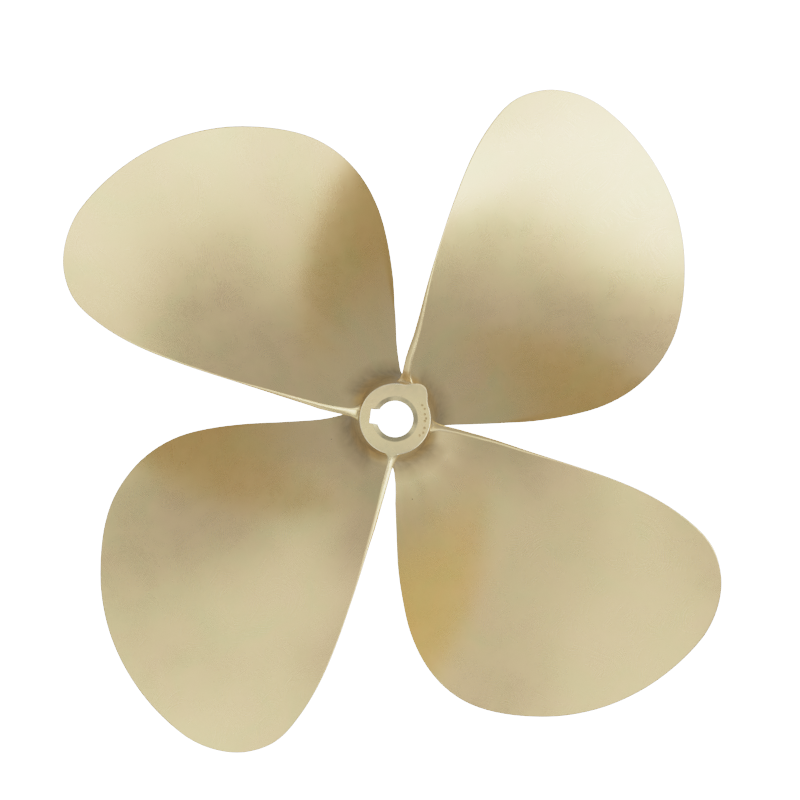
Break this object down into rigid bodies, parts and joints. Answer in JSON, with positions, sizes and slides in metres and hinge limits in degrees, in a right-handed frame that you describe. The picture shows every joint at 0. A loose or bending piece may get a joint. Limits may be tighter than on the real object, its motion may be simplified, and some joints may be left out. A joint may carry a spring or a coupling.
{
  "type": "ship propeller",
  "caption": "Right-handed fixed-pitch bronze ship propeller, cast in one piece, with broad rounded blades and a tapered, keyed hub bore",
  "frame": {"origin": "on the shaft axis, in the hub's flat forward face, on which the propeller lies", "axes": "+Z along the shaft axis, pointing aft; +X and +Y in the disc of the wheel, the first blade's generator line 40 degrees from +X towards +Y"},
  "size_m": [0.53, 0.53, 0.1255],
  "materials": {
    "bronze": "satin, fine-ground nickel-aluminium bronze with hand-polished blades"
  },
  "bodies": {
    "root": {"propeller": "bronze"}
  },
  "joints": []
}
